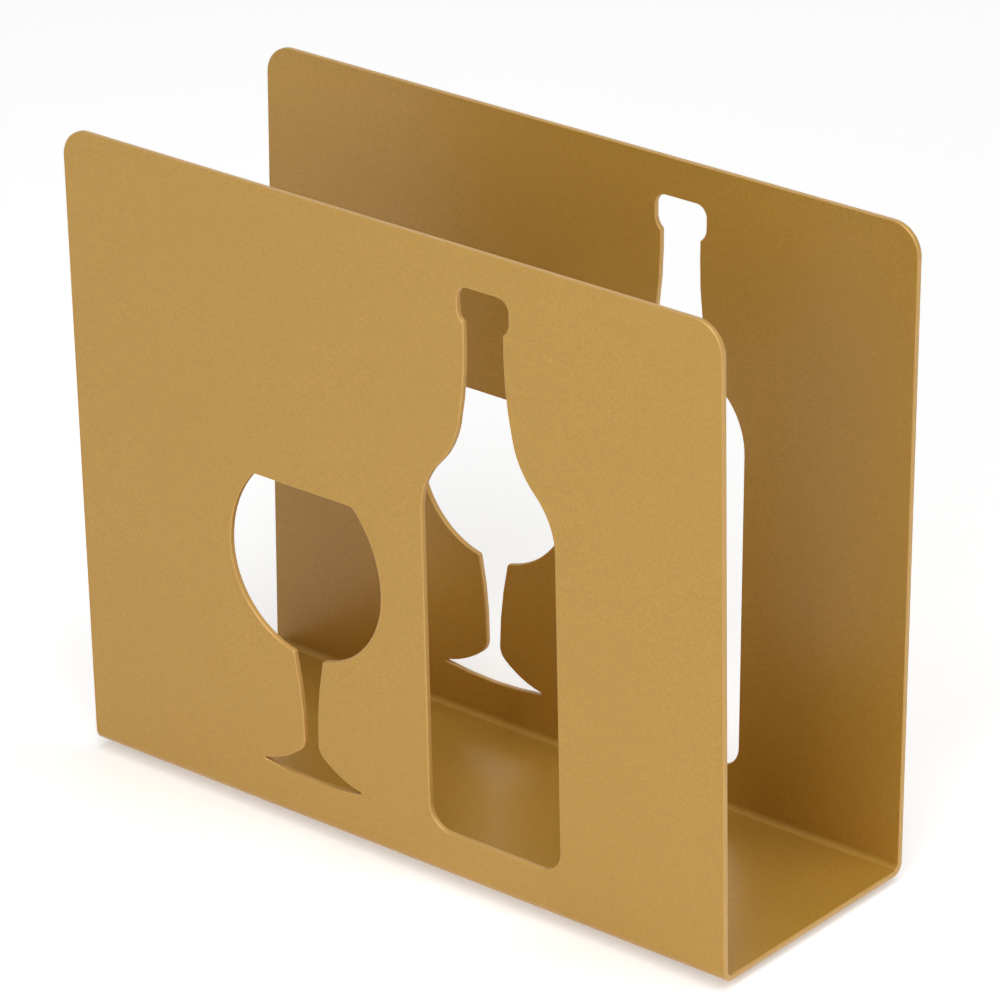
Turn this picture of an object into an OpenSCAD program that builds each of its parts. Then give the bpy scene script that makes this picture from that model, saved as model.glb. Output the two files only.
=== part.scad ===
// Napkin holder: one steel sheet folded twice into a U, with a wine glass and a bottle cut through
// both walls, standing on four self-adhesive rubber pads. Millimetres, +Z up, +Y to the rear.

/* [Sheet] */
// Width of the holder, along the folds
holder_w = 130; // [110:1:160]
// Depth between the outer faces of the walls, where they would meet the underside
holder_d = 45.5; // [38:0.5:60]
// Height of each wall, measured along its slope from the underside
wall_h = 108.3; // [100:0.1:125]
// Thickness of the sheet
sheet_t = 1; // [0.8:0.1:1.5]
// Inside radius of both folds
fold_inner_r = 1.1; // [0.8:0.1:3]
// Outward lean of each wall
flare = 0.9; // [0:0.1:4]
// Radius of the top corners of both walls
corner_r = 5; // [2:0.5:10]

/* [Cut-outs] */
// Height of the line that both cut-outs stand on, from the underside
motif_base = 8; // [6:0.5:12]
// Web left between the bottle and the top edge of the wall
top_web = 6.4; // [4:0.1:10]
// Distance of the bottle's axis from the middle of the wall
bottle_x = 20.2; // [18:0.1:28]
// Distance of the glass's axis from the middle of the wall
glass_x = 17.3; // [16:0.1:24]

/* [Bottle] */
// Width of the bottle's body
bottle_w = 26.1; // [22:0.1:30]
// Radius of the bottle's lower corners
heel_r = 4; // [2:0.5:8]
// Radius of the shoulder, where the body turns in
shoulder_r = 12.8; // [9:0.1:15]
// How far the shoulder turns in
shoulder_turn = 45; // [40:1:50]
// Radius of the long taper at the foot of the neck
taper_r = 65; // [40:1:80]
// How far the long taper turns
taper_turn = 12; // [9:1:14]
// Width of the neck
neck_w = 7.6; // [6:0.1:9]
// Straight length of the neck
neck_h = 3.4; // [1:0.1:8]
// Width of the lip
lip_w = 9.9; // [9.3:0.1:12]
// Height of the lip
lip_h = 5.9; // [5.2:0.1:8]
// Radius of the upper corners of the lip
lip_top_r = 2; // [1:0.1:2.4]
// Radius of the lower corners of the lip
lip_low_r = 2.7; // [2.4:0.1:3.2]

/* [Glass] */
// Height of the glass
glass_h = 51; // [46:0.5:60]
// Width of the bowl
bowl_w = 31.1; // [27:0.1:33]
// Width of the rim
rim_w = 20.4; // [17:0.1:24]
// Depth of the widest part of the bowl below the rim
bowl_drop = 13.6; // [11:0.1:16]
// Radius of the corners of the rim
rim_corner_r = 1; // [0.5:0.1:2]
// Radius of the corner between bowl and stem
stem_corner_r = 0.6; // [0.3:0.1:1]
// Width of the stem at its narrowest
stem_w = 2.7; // [2:0.1:3.6]
// Radius of the stem's side, which widens towards the bowl
stem_side_r = 70; // [50:1:120]
// Width of the foot
foot_w = 20.2; // [19:0.1:23]
// Rise of the foot's edge above the line that it stands on
foot_rise = 0.8; // [0.4:0.1:1.2]
// Thickness of the foot at its edge
foot_edge = 0.3; // [0.2:0.1:0.6]
// Radius of the upper side of the foot
foot_sweep_r = 17; // [15:0.5:17.5]
// Slope of the foot at its edge
foot_edge_slope = 11; // [9:1:14]
// Slope at which the foot turns up into the stem
foot_turn_slope = 40; // [36:1:42]

/* [Pads] */
// Diameter of a pad
pad_dia = 10; // [7:0.5:12]
// Thickness of a pad
pad_t = 1.3; // [1:0.1:2]
// Radius of a pad's lower edge
pad_edge_r = 0.5; // [0.2:0.1:0.8]
// Diameter of the adhesive disc above a pad
adhesive_dia = 9; // [5:0.5:9]
// Thickness of the adhesive disc
adhesive_t = 0.2; // [0.1:0.1:0.4]
// Distance of a pad's middle from the end of the base
pad_end_gap = 9; // [7:0.5:16]
// Distance of a pad's middle from the foot of the wall beside it
pad_wall_gap = 9.75; // [8.75:0.25:14]

/* [Hidden] */
$fn = 64;
// Largest turn of an outline between two points of an arc, in degrees
arc_step = 5;
// Points of an outline that lie closer than this are one point
least_step = 0.01;
// How far a cut runs past the faces that it goes through
overrun = 1;

// The underside of the base lies this high, on its pads
base_z = pad_t + adhesive_t;
// Folds: outer radius, turn, and length taken up on each side of the sharp corner
fold_r = fold_inner_r + sheet_t;
fold_turn = 90 - flare;
fold_setback = fold_r * tan(fold_turn / 2);

// Pads: names and places of the four corners
CORNERS = ["front_left", "front_right", "rear_left", "rear_right"];
pad_x = holder_w / 2 - pad_end_gap;
pad_y = holder_d / 2 - pad_wall_gap;
pad_places = [for (y = [-pad_y, pad_y], x = [-pad_x, pad_x]) [x, y]];

// Points on an arc around c, from angle a to angle b
function arc(c, r, a, b) =
    let (steps = ceil(abs(b - a) / arc_step))
    [for (i = [0:steps]) c + r * [cos(a + (b - a) * i / steps), sin(a + (b - a) * i / steps)]];

// The meeting point, on the left of the line from c to d, of two circles around c and d
function meet(c, r, d, s) =
    let (span = norm(d - c))
    let (ahead = (span * span + r * r - s * s) / (2 * span))
    let (aside = sqrt(r * r - ahead * ahead))
    let (way = (d - c) / span)
    c + ahead * way + aside * [-way.y, way.x];

// Direction from one point to another, in degrees
function bearing(from, to) = atan2(to.y - from.y, to.x - from.x);

// Closes an outline from the points of its right half, listed from bottom to top
module mirrored_outline(half) {
    points = [for (i = [0:len(half) - 1]) if (i == 0 || norm(half[i] - half[i - 1]) > least_step) half[i]];
    last = len(points) - 1;
    polygon(concat(points, [for (i = [0:last]) if (points[last - i].x > least_step)
        [-points[last - i].x, points[last - i].y]]));
}

// Bottle, standing on the origin: heel, body, shoulder, flare and taper into the neck, and lip
module bottle_outline() {
    body_r = bottle_w / 2;
    neck_r = neck_w / 2;
    lip_r = lip_w / 2;
    top = wall_h - top_web - motif_base;
    // The flare takes up what the shoulder and the taper leave between body and neck
    shoulder_in = shoulder_r * (1 - cos(shoulder_turn));
    taper_in = taper_r * (1 - cos(taper_turn));
    flare_r = (body_r - neck_r - shoulder_in - taper_in) / (cos(taper_turn) - cos(shoulder_turn));
    lip_low_turn = acos((neck_r - lip_r + lip_low_r) / lip_low_r);
    lip_low_y = top - lip_h + lip_low_r * sin(lip_low_turn);
    taper_c = [neck_r + taper_r, top - lip_h - neck_h];
    flare_c = taper_c + (flare_r - taper_r) * [cos(taper_turn), sin(taper_turn)];
    shoulder_c = flare_c - (flare_r + shoulder_r) * [cos(shoulder_turn), sin(shoulder_turn)];
    mirrored_outline(concat(
        arc([body_r - heel_r, heel_r], heel_r, -90, 0),
        arc(shoulder_c, shoulder_r, 0, shoulder_turn),
        arc(flare_c, flare_r, 180 + shoulder_turn, 180 + taper_turn),
        arc(taper_c, taper_r, 180 + taper_turn, 180),
        arc([lip_r - lip_low_r, lip_low_y], lip_low_r, -lip_low_turn, 0),
        arc([lip_r - lip_top_r, top - lip_top_r], lip_top_r, 0, 90)
    ));
}

// Wine glass, standing on the origin: foot, stem and round bowl with a narrower rim
module glass_outline() {
    bowl_r = bowl_w / 2;
    foot_r = foot_w / 2;
    stem_r = stem_w / 2;
    bowl_c = [0, glass_h - bowl_drop];
    // The side above the widest part runs from bowl width to rim width
    rim_in = bowl_r - rim_w / 2;
    side_r = (rim_in * rim_in + bowl_drop * bowl_drop) / (2 * rim_in);
    side_c = bowl_c + [bowl_r - side_r, 0];
    rim_y = glass_h - rim_corner_r;
    rim_c = [side_c.x + sqrt(pow(side_r - rim_corner_r, 2) - pow(rim_y - side_c.y, 2)), rim_y];
    // The underside of the foot is one shallow arc
    under_r = (foot_r * foot_r + foot_rise * foot_rise) / (2 * foot_rise);
    under_turn = asin(foot_r / under_r);
    // The upper side sweeps in to a tighter turn, which ends upright at the stem
    sweep_c = [foot_r, foot_rise + foot_edge]
        + foot_sweep_r * [sin(foot_edge_slope), cos(foot_edge_slope)];
    sweep_in = foot_sweep_r * (sin(foot_turn_slope) - sin(foot_edge_slope));
    turn_r = (foot_r - sweep_in - stem_r) / (1 - sin(foot_turn_slope));
    turn_c = sweep_c + (turn_r - foot_sweep_r) * [sin(foot_turn_slope), cos(foot_turn_slope)];
    stem_c = [stem_r + stem_side_r, turn_c.y];
    corner_c = meet(stem_c, stem_side_r - stem_corner_r, bowl_c, bowl_r + stem_corner_r);
    mirrored_outline(concat(
        arc([0, under_r], under_r, -90, under_turn - 90),
        arc(sweep_c, foot_sweep_r, 270 - foot_edge_slope, 270 - foot_turn_slope),
        arc(turn_c, turn_r, 270 - foot_turn_slope, 180),
        arc(stem_c, stem_side_r, 180, bearing(stem_c, corner_c)),
        arc(corner_c, stem_corner_r, bearing(stem_c, corner_c), bearing(corner_c, bowl_c)),
        arc(bowl_c, bowl_r, bearing(bowl_c, corner_c), 0),
        arc(side_c, side_r, 0, bearing(side_c, rim_c)),
        arc(rim_c, rim_corner_r, bearing(side_c, rim_c), 90)
    ));
}

// What is cut away from a square top corner of a wall to round it
module corner_trim() {
    translate([holder_w / 2 - corner_r, wall_h - corner_r])
        difference() {
            square(corner_r + overrun);
            circle(corner_r);
        }
}

// Everything that is cut through a wall, seen from the front of the holder
module wall_cuts() {
    translate([bottle_x, motif_base])
        bottle_outline();
    translate([-glass_x, motif_base])
        glass_outline();
    for (side = [0, 1])
        mirror([side, 0])
            corner_trim();
}

// Outline of the sheet before it is hollowed, with the top edge of each wall square to the wall
module outer_outline() {
    top = [holder_d / 2 + wall_h * sin(flare), wall_h * cos(flare)];
    edge = top + (sheet_t + overrun) * [-cos(flare), sin(flare)];
    polygon([[-holder_d / 2, 0], [holder_d / 2, 0], top, edge, [-edge.x, edge.y], [-top.x, top.y]]);
}

// Space between the two walls and above the base, up past the top edges
module inner_outline() {
    low = [holder_d / 2 - sheet_t * tan(fold_turn / 2), sheet_t];
    high = low + (wall_h + overrun) * [sin(flare), cos(flare)];
    polygon([[-low.x, low.y], low, high, [-high.x, high.y]]);
}

// The corner of a fold, from its middle out to a distance past the sharp corner
module fold_corner(reach) {
    polygon([[0, 0], [0, -reach], [reach, -reach], [reach, -reach * tan(flare)]]);
}

// The folded section: two walls and a base, with both folds rounded outside and inside
module folded_section() {
    difference() {
        outer_outline();
        difference() {
            inner_outline();
            for (side = [0, 1])
                mirror([side, 0])
                    translate([holder_d / 2 - fold_setback, fold_r])
                        difference() {
                            fold_corner(fold_r);
                            circle(fold_inner_r);
                        }
        }
        for (side = [0, 1])
            mirror([side, 0])
                translate([holder_d / 2 - fold_setback, fold_r])
                    difference() {
                        fold_corner(fold_r + overrun);
                        circle(fold_r);
                    }
    }
}

// The sheet: folded section drawn across the width, with the cuts square to each leaning wall
module holder_body() {
    color("#b8954f")
        translate([0, 0, base_z])
            difference() {
                rotate([90, 0, 90])
                    linear_extrude(holder_w, center = true)
                        folded_section();
                for (side = [0, 1])
                    mirror([0, side, 0])
                        translate([0, holder_d / 2, 0])
                            rotate([90 - flare, 0, 0])
                                translate([0, 0, -overrun])
                                    linear_extrude(sheet_t + 2 * overrun)
                                        wall_cuts();
            }
}

// Rubber pad with a rounded lower edge, standing on the table
module foot_pad(place) {
    pad_r = pad_dia / 2;
    color("#2c2b2a")
        translate(place)
            rotate_extrude()
                union() {
                    square([pad_r - pad_edge_r, pad_t]);
                    translate([0, pad_edge_r])
                        square([pad_r, pad_t - pad_edge_r]);
                    translate([pad_r - pad_edge_r, pad_edge_r])
                        circle(pad_edge_r);
                }
}

// Adhesive film between a pad and the underside of the base
module adhesive_disc(place) {
    color("#d9d4c4")
        translate([place.x, place.y, pad_t])
            cylinder(d = adhesive_dia, h = adhesive_t);
}

holder_body();
for (i = [0:3]) {
    foot_pad(pad_places[i]);
    adhesive_disc(pad_places[i]);
}
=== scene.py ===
"""Looks of the napkin holder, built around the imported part. Metres, +Z up, +Y to the rear."""

import math

import bmesh
import bpy
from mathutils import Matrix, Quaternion, Vector

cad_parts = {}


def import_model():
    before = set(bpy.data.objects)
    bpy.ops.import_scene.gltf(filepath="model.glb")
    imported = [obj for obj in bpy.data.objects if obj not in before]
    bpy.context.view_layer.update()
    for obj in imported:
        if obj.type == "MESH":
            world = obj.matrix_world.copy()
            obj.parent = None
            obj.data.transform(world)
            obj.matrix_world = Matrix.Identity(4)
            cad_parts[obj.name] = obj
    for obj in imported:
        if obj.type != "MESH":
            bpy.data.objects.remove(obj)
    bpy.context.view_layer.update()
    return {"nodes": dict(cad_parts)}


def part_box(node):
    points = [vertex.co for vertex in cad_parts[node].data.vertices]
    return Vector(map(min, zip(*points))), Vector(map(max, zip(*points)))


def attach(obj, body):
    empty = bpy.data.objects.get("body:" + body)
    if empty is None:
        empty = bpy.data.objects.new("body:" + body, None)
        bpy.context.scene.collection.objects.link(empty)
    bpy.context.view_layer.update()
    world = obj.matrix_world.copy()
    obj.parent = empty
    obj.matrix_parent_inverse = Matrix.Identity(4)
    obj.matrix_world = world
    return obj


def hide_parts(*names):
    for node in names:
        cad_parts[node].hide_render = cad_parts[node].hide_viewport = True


MM = 0.001
BODY = "root"
CORNERS = ("front_left", "front_right", "rear_left", "rear_right")

# Camera: where it stands round the aim point, and its lens
CAMERA_AIM = Vector((1.9, 1.2, 55.38)) * MM
CAMERA_AZIMUTH = math.radians(39.914)
CAMERA_ELEVATION = math.radians(24.691)
CAMERA_DISTANCE = 870.3 * MM
CAMERA_ROLL = math.radians(-0.628)
CAMERA_LENS = 200.49
CAMERA_SENSOR = 36.0

# Sheet: rounding that the coat gives to every cut edge, outer radius of the folds and their divisions
EDGE_R = 0.22 * MM
EDGE_SEGMENTS = 4
EDGE_PROFILE = 0.5
FOLD_R = 2.1 * MM
FOLD_CUTS = 3
WELD = 0.001 * MM
FLAT_ANGLE = math.radians(1)
SHARP_ANGLE = math.radians(35)
# Least share of a direction that counts as lying along an axis
ALONG_SHARE = 0.9
# Name of the mesh values that mark the cut edges, where the coat's colour is lifted into a painted
# highlight
PAINTED_RIM = "rim"

# Pads and films: divisions round the axis and of a rounded edge, and radii of the edges
ROUND_STEPS = 96
ARC_STEPS = 6
PAD_EDGE_R = 0.5 * MM
PAD_TOP_R = 0.15 * MM
FILM_EDGE_R = 0.05 * MM

# Studio: a wide pale floor, pale surroundings and soft square lamps
FLOOR_SIZE = 8.0
FLOOR_COLOUR = (0.9, 0.9, 0.9, 1)
FLOOR_ROUGHNESS = 0.9
FLOOR_SHINE = 0.0
FLOOR_GLOW = 0.37
WORLD_LEVEL = 0.04
WORLD_SEEN = 0.3
# Side of a lamp as a share of its distance
LAMP_SIDE_SHARE = 0.5
LAMPS = (
    # name, degrees round from the front to the right, degrees up from the floor, metres away, watts
    ("lamp_front_low", 11, 22, 1.0, 2.88),
    ("lamp_front_right", 38, 48, 1.0, 2.95),
    ("lamp_top", 90, 84, 4.0, 52.0),
    ("lamp_right", 90, 48, 4.0, 20.0),
    ("lamp_rear_right", 120, 48, 4.0, 20.0),
    ("lamp_rear_left", 220, 25, 4.0, 10.0),
)

WHITE = (1, 1, 1, 1)

# Textures: usual range of a noise, and the colour sockets of a Mix node, whose names are not unique
NOISE_LOW = 0.3
NOISE_HIGH = 0.7
MIX_FIRST = 6
MIX_SECOND = 7
MIX_RESULT = 2

# Coat: colours of the flakes, their scatter over the sheet, and the resin over them
COAT_METALLIC = 0.5
COAT_DARK = (0.500, 0.280, 0.0385, 1)
COAT_LIGHT = (0.570, 0.319, 0.0439, 1)
COAT_CLOUD = (0.520, 0.291, 0.0397, 1)
COAT_SPARK = (0.61, 0.36, 0.06, 1)
# Paler colour of the cut edges: partly the thinner coat there, partly a painted highlight
COAT_PAINTED_RIM = (0.64, 0.38, 0.10, 1)
COAT_ROUGHNESS = (0.56, 0.64)
CLOUD_SHARE = 0.5
SPARK_FROM = 0.998
RESIN_WEIGHT = 0.6
RESIN_ROUGHNESS = 0.28
FLAKE_SIZE = 0.34 * MM
CLOUD_SIZE = 25 * MM
CLOUD_DETAIL = 2
GRAIN_SIZE = 0.35 * MM
GRAIN_DETAIL = 3
GRAIN_DEPTH = 0.003 * MM
PEEL_SIZE = 1.2 * MM
PEEL_DETAIL = 1
PEEL_DEPTH = 0.004 * MM

# Pads and films: colours, roughness from low to high, and texture
RUBBER_COLOUR = (0.022, 0.021, 0.020, 1)
RUBBER_DUST = (0.034, 0.033, 0.031, 1)
RUBBER_ROUGHNESS = (0.62, 0.78)
DUST_SIZE = 2.5 * MM
DUST_DETAIL = 4
MOULD_SIZE = 0.12 * MM
MOULD_DETAIL = 2
MOULD_DEPTH = 0.02 * MM
FILM_COLOUR = (0.66, 0.63, 0.53, 1)
FILM_FIBRE = (0.72, 0.69, 0.59, 1)
FILM_ROUGHNESS = (0.35, 0.5)
FIBRE_SIZE = 0.3 * MM
FIBRE_DETAIL = 3
FIBRE_STRETCH = (0.1, 1, 1)
FIBRE_DEPTH = 0.01 * MM

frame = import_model()


def link(name, mesh, material):
    """A new object of the scene with one material."""
    piece = bpy.data.objects.new(name, mesh)
    bpy.context.scene.collection.objects.link(piece)
    mesh.materials.clear()
    mesh.materials.append(material)
    return piece


def dress(piece, node):
    """Makes a piece stand for a node of the part: hides the node and attaches the piece to the body."""
    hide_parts(node)
    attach(piece, BODY)


def new_material(name):
    """A node material: its tree and its main shader."""
    material = bpy.data.materials.new(name)
    material.use_nodes = True
    tree = material.node_tree
    return material, tree, tree.nodes["Principled BSDF"]


def texture(tree, kind, size, stretch=(1, 1, 1), **settings):
    """A procedural texture in the part's own frame, with features of the given size."""
    place = tree.nodes.new("ShaderNodeTexCoord")
    made = tree.nodes.new(kind)
    made.inputs["Scale"].default_value = 1 / size
    for name, value in settings.items():
        made.inputs[name].default_value = value
    scaled = tree.nodes.new("ShaderNodeVectorMath")
    scaled.operation = "MULTIPLY"
    scaled.inputs[1].default_value = stretch
    tree.links.new(place.outputs["Object"], scaled.inputs[0])
    tree.links.new(scaled.outputs[0], made.inputs["Vector"])
    return made


def spread(tree, source, low, high, start=NOISE_LOW, end=NOISE_HIGH):
    """Carries a texture's value from its usual range to low and high."""
    made = tree.nodes.new("ShaderNodeMapRange")
    for name, value in (("From Min", start), ("From Max", end), ("To Min", low), ("To Max", high)):
        made.inputs[name].default_value = value
    tree.links.new(source, made.inputs["Value"])
    return made.outputs["Result"]


def blend_colour(tree, share, first, second):
    """A colour between two colours or sockets, by share."""
    made = tree.nodes.new("ShaderNodeMix")
    made.data_type = "RGBA"
    tree.links.new(share, made.inputs["Factor"])
    for socket, value in ((made.inputs[MIX_FIRST], first), (made.inputs[MIX_SECOND], second)):
        if isinstance(value, bpy.types.NodeSocket):
            tree.links.new(value, socket)
        else:
            socket.default_value = value
    return made.outputs[MIX_RESULT]


def bump(tree, height, depth, below=None):
    """A normal that follows a height of the given depth, on top of another normal."""
    made = tree.nodes.new("ShaderNodeBump")
    made.inputs["Distance"].default_value = depth
    tree.links.new(height, made.inputs["Height"])
    if below is not None:
        tree.links.new(below, made.inputs["Normal"])
    return made.outputs["Normal"]


def gold_coat():
    """Satin gold powder coat: metal flakes in a clear resin with a faint orange peel."""
    material, tree, shader = new_material("coat_gold")
    flakes = texture(tree, "ShaderNodeTexVoronoi", FLAKE_SIZE)
    flake = tree.nodes.new("ShaderNodeSeparateColor")
    tree.links.new(flakes.outputs["Color"], flake.inputs[0])
    cloud = texture(tree, "ShaderNodeTexNoise", CLOUD_SIZE, Detail=CLOUD_DETAIL)
    grain = texture(tree, "ShaderNodeTexNoise", GRAIN_SIZE, Detail=GRAIN_DETAIL)
    peel = texture(tree, "ShaderNodeTexNoise", PEEL_SIZE, Detail=PEEL_DETAIL)
    body = blend_colour(tree, flake.outputs["Red"], COAT_DARK, COAT_LIGHT)
    tint = spread(tree, cloud.outputs["Fac"], 0, CLOUD_SHARE)
    shade = blend_colour(tree, tint, body, COAT_CLOUD)
    spark = spread(tree, flake.outputs["Green"], 0, 1, SPARK_FROM, 1)
    flaked = blend_colour(tree, spark, shade, COAT_SPARK)
    # Cut edges take the paler rim colour: a painted highlight, partly the thinner coat there
    rim = tree.nodes.new("ShaderNodeAttribute")
    rim.attribute_name = PAINTED_RIM
    tree.links.new(blend_colour(tree, rim.outputs["Fac"], flaked, COAT_PAINTED_RIM), shader.inputs["Base Color"])
    tree.links.new(spread(tree, grain.outputs["Fac"], *COAT_ROUGHNESS), shader.inputs["Roughness"])
    surface = bump(tree, peel.outputs["Fac"], PEEL_DEPTH)
    tree.links.new(bump(tree, grain.outputs["Fac"], GRAIN_DEPTH, surface), shader.inputs["Normal"])
    shader.inputs["Metallic"].default_value = COAT_METALLIC
    shader.inputs["Coat Weight"].default_value = RESIN_WEIGHT
    shader.inputs["Coat Roughness"].default_value = RESIN_ROUGHNESS
    return material


def pad_rubber():
    """Matt black rubber with a fine moulded texture and a little dust."""
    material, tree, shader = new_material("rubber_black")
    dust = texture(tree, "ShaderNodeTexNoise", DUST_SIZE, Detail=DUST_DETAIL)
    mould = texture(tree, "ShaderNodeTexNoise", MOULD_SIZE, Detail=MOULD_DETAIL)
    share = spread(tree, dust.outputs["Fac"], 0, 1)
    tree.links.new(blend_colour(tree, share, RUBBER_COLOUR, RUBBER_DUST), shader.inputs["Base Color"])
    tree.links.new(spread(tree, dust.outputs["Fac"], *RUBBER_ROUGHNESS), shader.inputs["Roughness"])
    tree.links.new(bump(tree, mould.outputs["Fac"], MOULD_DEPTH), shader.inputs["Normal"])
    return material


def adhesive_film():
    """Pale adhesive film with long paper fibres."""
    material, tree, shader = new_material("film_pale")
    fibre = texture(tree, "ShaderNodeTexNoise", FIBRE_SIZE, stretch=FIBRE_STRETCH, Detail=FIBRE_DETAIL)
    share = spread(tree, fibre.outputs["Fac"], 0, 1)
    tree.links.new(blend_colour(tree, share, FILM_COLOUR, FILM_FIBRE), shader.inputs["Base Color"])
    tree.links.new(spread(tree, fibre.outputs["Fac"], *FILM_ROUGHNESS), shader.inputs["Roughness"])
    tree.links.new(bump(tree, fibre.outputs["Fac"], FIBRE_DEPTH), shader.inputs["Normal"])
    return material


def refine_folds(sheet):
    """Divides the facets of both folds and puts the new points on the true arcs."""
    low_z = min(v.co.z for v in sheet.verts)
    axis_y = max(abs(v.co.y) for v in sheet.verts if v.co.z - low_z < WELD)
    axis_z = low_z + FOLD_R

    def axis_gap(vert):
        return math.hypot(abs(vert.co.y) - axis_y, vert.co.z - axis_z)

    def in_fold(vert):
        return abs(vert.co.y) > axis_y - WELD and vert.co.z < axis_z + WELD

    rims = [e for e in sheet.edges
            if all(in_fold(v) for v in e.verts)
            and e.verts[0].co.y * e.verts[1].co.y > 0
            and abs(e.verts[0].co.x - e.verts[1].co.x) < WELD
            and abs(axis_gap(e.verts[0]) - axis_gap(e.verts[1])) < WELD]
    radius = {e: axis_gap(e.verts[0]) for e in rims}
    levels = sorted({round(r / WELD) for r in radius.values()})
    made = bmesh.ops.subdivide_edges(sheet, edges=rims, cuts=FOLD_CUTS, use_grid_fill=True)
    for vert in made["geom_inner"]:
        if isinstance(vert, bmesh.types.BMVert):
            gap = axis_gap(vert)
            true_r = min(levels, key=lambda level: abs(level * WELD - gap)) * WELD
            side = math.copysign(1, vert.co.y)
            away = abs(vert.co.y) - axis_y
            vert.co.y = side * (axis_y + away * true_r / gap)
            vert.co.z = axis_z + (vert.co.z - axis_z) * true_r / gap


def fold_top(sheet):
    """Height where the folds end and the walls begin."""
    return min(v.co.z for v in sheet.verts) + FOLD_R


def rim_edges(sheet):
    """The edges where a face of the sheet meets a cut, without the corners that run through the sheet."""
    wall_foot = fold_top(sheet)

    def runs_through(edge):
        along = (edge.verts[1].co - edge.verts[0].co).normalized()
        return abs(along.y) > ALONG_SHARE and min(v.co.z for v in edge.verts) > wall_foot

    return [e for e in sheet.edges if e.calc_face_angle() > SHARP_ANGLE and not runs_through(e)]


def mark_rim(sheet, rounded):
    """Marks the points of the cut edges for the material, which paints them paler: partly a painted
    highlight, partly the thinner, paler coat there.
    """
    wall_foot = fold_top(sheet)

    def on_cut(face):
        in_wall = min(v.co.z for v in face.verts) > wall_foot
        return abs(face.normal.x) > ALONG_SHARE or (in_wall and abs(face.normal.y) < 1 - ALONG_SHARE)

    rim = sheet.verts.layers.float.new(PAINTED_RIM)
    for vert in sheet.verts:
        vert[rim] = all(face in rounded or on_cut(face) for face in vert.link_faces)


def folded_sheet(material):
    """The folded sheet, with its cut edges rounded by the coat."""
    mesh = frame["nodes"]["holder_body"].data.copy()
    mesh.name = "coated_sheet"
    sheet = bmesh.new()
    sheet.from_mesh(mesh)
    bmesh.ops.remove_doubles(sheet, verts=sheet.verts, dist=WELD)
    bmesh.ops.dissolve_limit(sheet, angle_limit=FLAT_ANGLE, verts=sheet.verts, edges=sheet.edges)
    refine_folds(sheet)
    sheet.normal_update()
    made = bmesh.ops.bevel(sheet, geom=rim_edges(sheet), offset=EDGE_R, offset_type="OFFSET",
                           segments=EDGE_SEGMENTS, profile=EDGE_PROFILE, affect="EDGES",
                           clamp_overlap=False, loop_slide=False)
    sheet.normal_update()
    mark_rim(sheet, set(made["faces"]))
    for face in sheet.faces:
        face.smooth = True
    sheet.to_mesh(mesh)
    sheet.free()
    piece = link("coated_sheet", mesh, material)
    piece.modifiers.new("even_shading", "WEIGHTED_NORMAL")
    dress(piece, "holder_body")


def quarter(centre_r, centre_z, radius, start, end):
    """Points on an arc of a turned profile, angles in degrees."""
    angles = [math.radians(start + (end - start) * i / ARC_STEPS) for i in range(ARC_STEPS + 1)]
    return [(centre_r + radius * math.cos(a), centre_z + radius * math.sin(a)) for a in angles]


def turned(name, profile, centre, material):
    """A closed solid turned round an upright axis from a profile of (radius, height), axis to axis."""
    solid = bmesh.new()
    rings = []
    for radius, height in profile:
        rings.append([solid.verts.new((centre.x + radius * math.cos(2 * math.pi * i / ROUND_STEPS),
                                       centre.y + radius * math.sin(2 * math.pi * i / ROUND_STEPS),
                                       height)) for i in range(ROUND_STEPS)])
    for low, high in zip(rings, rings[1:]):
        for i in range(ROUND_STEPS):
            j = (i + 1) % ROUND_STEPS
            solid.faces.new((low[i], low[j], high[j], high[i]))
    solid.faces.new(rings[0][::-1])
    solid.faces.new(rings[-1])
    for face in solid.faces:
        face.smooth = True
    mesh = bpy.data.meshes.new(name)
    solid.to_mesh(mesh)
    solid.free()
    piece = link(name, mesh, material)
    piece.modifiers.new("even_shading", "WEIGHTED_NORMAL")
    return piece


def rubber_pad(corner, material):
    """A moulded pad with a rounded lower edge."""
    node = "foot_pad_" + corner
    low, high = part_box(node)
    radius = (high.x - low.x) / 2
    profile = quarter(radius - PAD_EDGE_R, low.z + PAD_EDGE_R, PAD_EDGE_R, -90, 0)
    profile += quarter(radius - PAD_TOP_R, high.z - PAD_TOP_R, PAD_TOP_R, 0, 90)
    dress(turned("rubber_pad_" + corner, profile, (low + high) / 2, material), node)


def film_disc(corner, material):
    """The adhesive film between a pad and the sheet."""
    node = "adhesive_disc_" + corner
    low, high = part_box(node)
    radius = (high.x - low.x) / 2
    profile = quarter(radius - FILM_EDGE_R, low.z + FILM_EDGE_R, FILM_EDGE_R, -90, 0)
    profile += quarter(radius - FILM_EDGE_R, high.z - FILM_EDGE_R, FILM_EDGE_R, 0, 90)
    dress(turned("film_disc_" + corner, profile, (low + high) / 2, material), node)


def seen_rays(tree):
    """1 for camera, glossy and transmission rays, else 0."""
    path = tree.nodes.new("ShaderNodeLightPath")
    either = path.outputs["Is Camera Ray"]
    for output in ("Is Glossy Ray", "Is Transmission Ray"):
        larger = tree.nodes.new("ShaderNodeMath")
        larger.operation = "MAXIMUM"
        tree.links.new(either, larger.inputs[0])
        tree.links.new(path.outputs[output], larger.inputs[1])
        either = larger.outputs[0]
    return either


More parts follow.
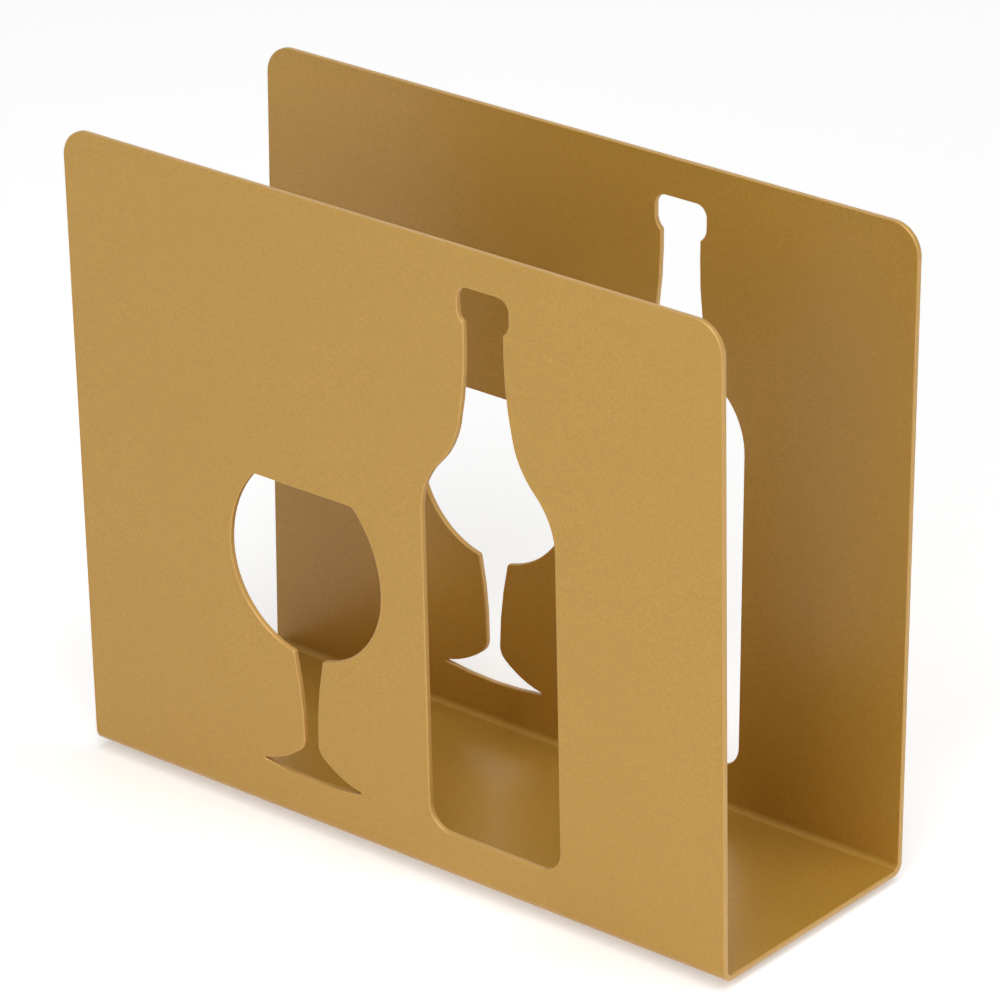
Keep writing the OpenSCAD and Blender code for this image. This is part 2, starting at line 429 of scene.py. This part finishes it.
def floor():
    """A wide pale floor that shows white and keeps the shadow."""
    mesh = bpy.data.meshes.new("floor")
    half = FLOOR_SIZE / 2
    square = [(-half, -half, 0), (half, -half, 0), (half, half, 0), (-half, half, 0)]
    mesh.from_pydata(square, [], [(0, 1, 2, 3)])
    material, tree, shader = new_material("floor")
    shader.inputs["Base Color"].default_value = FLOOR_COLOUR
    shader.inputs["Roughness"].default_value = FLOOR_ROUGHNESS
    shader.inputs["Specular IOR Level"].default_value = FLOOR_SHINE
    shader.inputs["Emission Color"].default_value = WHITE
    level = tree.nodes.new("ShaderNodeMath")
    level.operation = "MULTIPLY"
    level.inputs[1].default_value = FLOOR_GLOW
    tree.links.new(seen_rays(tree), level.inputs[0])
    tree.links.new(level.outputs[0], shader.inputs["Emission Strength"])
    link("floor", mesh, material)


def world():
    """Pale surroundings, dimmer as a light than they look."""
    made = bpy.data.worlds.new("studio")
    made.use_nodes = True
    tree = made.node_tree
    back = tree.nodes["Background"]
    back.inputs["Color"].default_value = WHITE
    level = tree.nodes.new("ShaderNodeMath")
    level.operation = "MULTIPLY_ADD"
    level.inputs[1].default_value = WORLD_SEEN - WORLD_LEVEL
    level.inputs[2].default_value = WORLD_LEVEL
    tree.links.new(seen_rays(tree), level.inputs[0])
    tree.links.new(level.outputs[0], back.inputs["Strength"])
    bpy.context.scene.world = made


def toward(azimuth, elevation):
    """Direction from the object, turned from the front to the right and raised from the floor."""
    level = math.cos(elevation)
    return Vector((level * math.sin(azimuth), -level * math.cos(azimuth), math.sin(elevation)))


def lamps():
    """Soft square lamps, aimed at the object."""
    for name, azimuth, elevation, distance, power in LAMPS:
        data = bpy.data.lights.new(name, "AREA")
        data.size = distance * LAMP_SIDE_SHARE
        data.energy = power
        lamp = bpy.data.objects.new(name, data)
        away = toward(math.radians(azimuth), math.radians(elevation))
        lamp.location = CAMERA_AIM + away * distance
        lamp.rotation_mode = "QUATERNION"
        lamp.rotation_quaternion = (CAMERA_AIM - lamp.location).to_track_quat("-Z", "Y")
        lamp.visible_camera = False
        bpy.context.scene.collection.objects.link(lamp)


def camera():
    """The camera at the photograph's viewing angle."""
    data = bpy.data.cameras.new("camera")
    data.lens = CAMERA_LENS
    data.sensor_width = CAMERA_SENSOR
    made = bpy.data.objects.new("camera", data)
    bpy.context.scene.collection.objects.link(made)
    back = toward(CAMERA_AZIMUTH, CAMERA_ELEVATION)
    made.location = CAMERA_AIM + back * CAMERA_DISTANCE
    made.rotation_mode = "QUATERNION"
    made.rotation_quaternion = (-back).to_track_quat("-Z", "Y") @ Quaternion((0, 0, 1), CAMERA_ROLL)
    bpy.context.scene.camera = made


bpy.context.scene.view_settings.view_transform = "Standard"
camera()
world()
lamps()
floor()
folded_sheet(gold_coat())
rubber = pad_rubber()
film = adhesive_film()
for corner in CORNERS:
    rubber_pad(corner, rubber)
    film_disc(corner, film)
